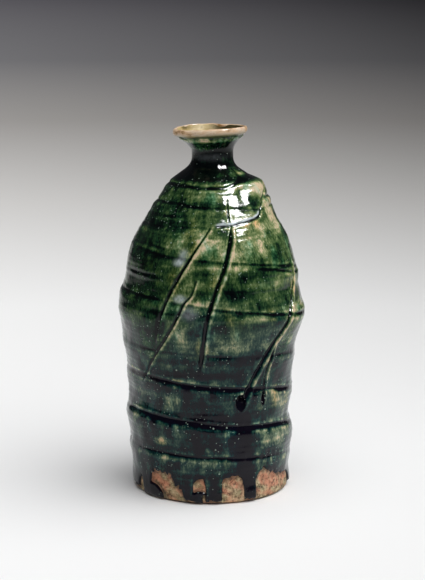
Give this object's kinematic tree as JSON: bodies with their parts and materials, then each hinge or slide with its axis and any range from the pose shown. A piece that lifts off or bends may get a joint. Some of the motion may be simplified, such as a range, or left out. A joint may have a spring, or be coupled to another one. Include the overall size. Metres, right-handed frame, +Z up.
{
  "type": "sake bottle",
  "caption": "Squat-footed bottle with a full belly, sloped shoulder, short narrow neck and dished mouth, for pouring sake.",
  "frame": {"origin": "centre of the foot's flat face", "axes": "+Z up along the bottle's axis, -Y the front, +X the side with the lap on the shoulder"},
  "size_m": [0.1188, 0.1188, 0.2315],
  "materials": {
    "stoneware": "bare fired clay",
    "luting_slip": "bare fired clay",
    "green_glaze": "glossy copper-green glaze",
    "clear_glaze": "glossy amber glaze"
  },
  "bodies": {
    "root": {"lower_body": "stoneware", "belly_luting_slip": "luting_slip", "upper_body": "stoneware", "neck_luting_slip": "luting_slip", "neck_and_mouth": "stoneware", "shoulder_lap": "stoneware", "outer_glaze_coat": "green_glaze", "mouth_glaze_lining": "clear_glaze"}
  },
  "joints": []
}
